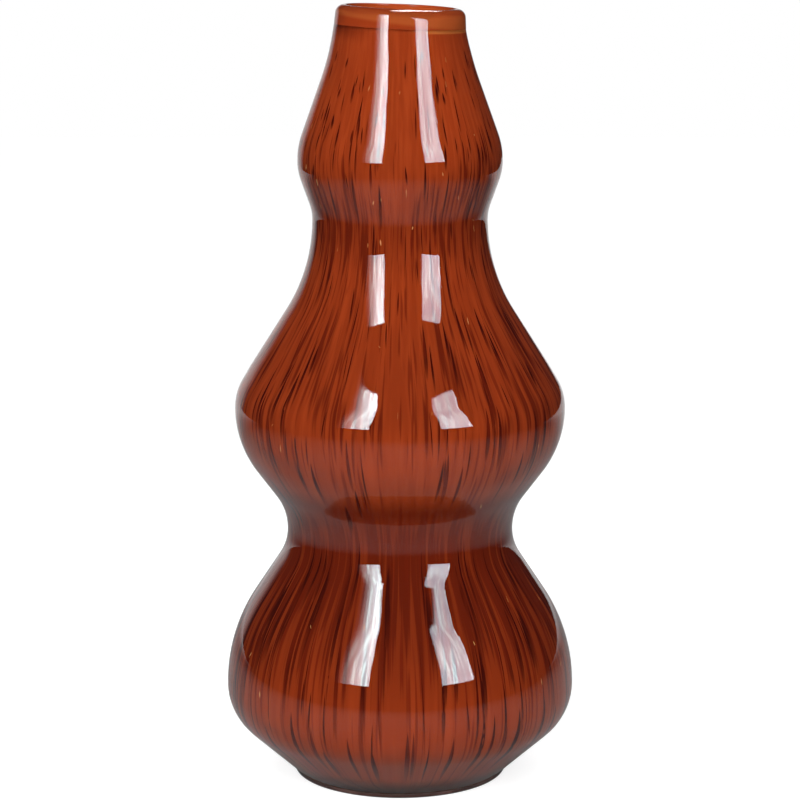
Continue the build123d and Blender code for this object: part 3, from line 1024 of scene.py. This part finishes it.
def aimed(name, data, place, aim):
    """Puts a lamp or a camera at a place, facing its aim."""
    made = bpy.data.objects.new(name, data)
    made.location = place
    made.rotation_euler = (aim - place).to_track_quat("-Z", "Y").to_euler()
    bpy.context.scene.collection.objects.link(made)
    return made


def area_lamp(name, place, aim, width, tall, radiance):
    """A lamp at a place that faces its aim, and that doesn't show itself or through glass."""
    data = bpy.data.lights.new(name, "AREA")
    data.shape, data.size, data.size_y = "RECTANGLE", width, tall
    data.energy = radiance * 4 * width * tall
    lamp = aimed(name, data, place, aim)
    lamp.visible_camera = lamp.visible_transmission = False
    return lamp


def strip_lamp(name, studio, bearing, width, top, radiance):
    """An upright strip lamp that faces the vase."""
    tall, reach = top - studio.lamp_bottom, studio.lamp_reach
    middle = Vector((0, 0, studio.lamp_bottom + tall / 2))
    place = middle + Vector((sin(bearing), -cos(bearing), 0)) * reach
    return area_lamp(name, place, middle, width, tall, radiance)


def rim_lamp(studio):
    """A lamp high behind the vase that shows only in the gloss of the rim."""
    place = Vector((*studio.rim_lamp_aside, studio.rim_lamp_height))
    lamp = area_lamp("rim_lamp", place, Vector(), *studio.rim_lamp, studio.rim_gloss)
    lamp.visible_diffuse = False


def strip_glow(lamp, rosy, white, soft, foot, head):
    """Gives a lamp rosy and white streaks, a soft left edge and a level at its foot and at its head."""
    recipe = Recipe(lamp.data, "OutputLight")
    across, up, _ = recipe.parts(recipe.node("NewGeometry").outputs["Parametric"])
    streaks_across, streaks_up, seed = 16, 2, soft * 40
    stripe = recipe.noise((across * streaks_across, up * streaks_up, seed), 1.0, 3.0).fade(0.45, 0.60)
    edges = across.fade(0.0, soft) ** 2 * (1 - up.fade(0.95, 1.0)) * (foot + (head - foot) * up)
    glow = {"Color": recipe.mixed(stripe, rosy, white), "Strength": edges * (0.72 + 0.6 * stripe)}
    recipe.shaded(recipe.node("Emission", glow))


def lamps(studio, colours):
    """The two strips, each as one lamp that shows in the gloss and one that lights matt surfaces."""
    left, right, turn = studio.left_bearing, studio.right_bearing, studio.fill_turn
    left_gloss = strip_lamp("left_strip_gloss", studio, left, *studio.left_size, studio.left_gloss)
    right_gloss = strip_lamp("right_strip_gloss", studio, right, *studio.right_size, studio.right_gloss)
    strip_glow(left_gloss, colours.left_strip, colours.left_strip_white, soft=0.76, foot=0.85, head=1.25)
    strip_glow(right_gloss, colours.right_strip, colours.right_strip_white, soft=0.08, foot=1.25, head=0.85)
    left_gloss.visible_diffuse = right_gloss.visible_diffuse = False
    rim_lamp(studio)
    fills = {
        "left_fill": (left * turn, *studio.left_size, studio.left_fill),
        "right_fill": (right * turn, *studio.right_size, studio.right_fill),
        "back_fill": (pi, studio.back_width, studio.right_size[1], studio.back_fill),
    }
    for name, fill in fills.items():
        strip_lamp(name, studio, *fill).visible_glossy = False


def white_room(scene, studio):
    """White round the camera's view, white low behind the vase in its gloss, and dim elsewhere."""
    recipe = Recipe(scene.world or bpy.data.worlds.new("room"), "OutputWorld")
    scene.world = recipe.owner
    east, north, up = recipe.parts(recipe.node("TexCoord").outputs["Generated"])
    aside, dim, bright = 0.25, 0.02, 0.70
    behind, low = (north - east * aside).fade(0.90, 1.0), 1 - up.fade(0.02, 0.25)
    camera, gloss = recipe.ray("Camera"), recipe.ray("Glossy").most(recipe.ray("Transmission"))
    mirrored = dim + bright * (behind * low)
    strength = camera + (1 - camera) * (gloss * mirrored + (1 - gloss) * studio.ambient)
    recipe.shaded(recipe.node("Background", {"Color": (1, 1, 1), "Strength": strength}))


class GOURD_OT_studio(bpy.types.Operator):
    """Make the white table, the two strip lamps, the room and the camera"""

    bl_idname = "gourd.studio"
    bl_label = "Studio"

    def execute(self, context):
        scene, studio = context.scene, context.scene.gourd_studio
        mesh = bmesh.new()
        deep = (studio.table_front + studio.table_back) / 2
        spread = Matrix.Diagonal((studio.table_half_width, deep, 1, 1))
        place = Matrix.Translation((0, studio.table_back - deep, 0)) @ spread
        bmesh.ops.create_grid(mesh, x_segments=1, y_segments=1, size=1.0, matrix=place)
        data = bpy.data.meshes.new("white_table")
        mesh.to_mesh(data)
        mesh.free()
        data.materials.append(table_top(studio))
        table = bpy.data.objects.new("white_table", data)
        scene.collection.objects.link(table)
        lamps(studio, scene.gourd_colours)
        white_room(scene, studio)
        lens = bpy.data.cameras.new("camera")
        lens.lens, lens.sensor_width = studio.focal_length, SENSOR_WIDTH
        place = Vector((0, -studio.camera_back, studio.camera_height))
        scene.camera = aimed("camera", lens, place, Vector((0, 0, studio.aim_height)))
        scene.view_settings.view_transform = "Standard"
        return {"FINISHED"}


OPERATORS = (
    GOURD_OT_foot_pad,
    GOURD_OT_clear_casing,
    GOURD_OT_colour_coat,
    GOURD_OT_streaks,
    GOURD_OT_glints,
    GOURD_OT_amber_liner,
    GOURD_OT_lip_wrap,
    GOURD_OT_studio,
)


class VIEW3D_PT_gourd(bpy.types.Panel):
    """The vase's pieces and sizes"""

    bl_label = "Gourd Vase"
    bl_space_type = "VIEW_3D"
    bl_region_type = "UI"
    bl_category = "Gourd"

    def draw(self, context):
        for operator in OPERATORS:
            self.layout.operator(operator.bl_idname)
        for name, group in PROPERTY_GROUPS.items():
            box = self.layout.box()
            for key in group.__annotations__:
                box.prop(getattr(context.scene, name), key)


def register():
    """Adds the classes and their properties to Blender."""
    for name, group in PROPERTY_GROUPS.items():
        bpy.utils.register_class(group)
        setattr(bpy.types.Scene, name, PointerProperty(type=group))
    for operator in OPERATORS:
        bpy.utils.register_class(operator)
    bpy.utils.register_class(VIEW3D_PT_gourd)


def unregister():
    """Takes the classes and their properties out of Blender."""
    bpy.utils.unregister_class(VIEW3D_PT_gourd)
    for operator in reversed(OPERATORS):
        bpy.utils.unregister_class(operator)
    for name, group in PROPERTY_GROUPS.items():
        delattr(bpy.types.Scene, name)
        bpy.utils.unregister_class(group)


def main():
    """Builds the vase and its studio."""
    register()
    bpy.ops.gourd.studio()
    bpy.ops.gourd.foot_pad()
    bpy.ops.gourd.clear_casing()
    bpy.ops.gourd.colour_coat()
    bpy.ops.gourd.streaks()
    bpy.ops.gourd.flecks()
    bpy.ops.gourd.amber_liner()
    bpy.ops.gourd.lip_wrap()


if __name__ == "__main__":
    main()
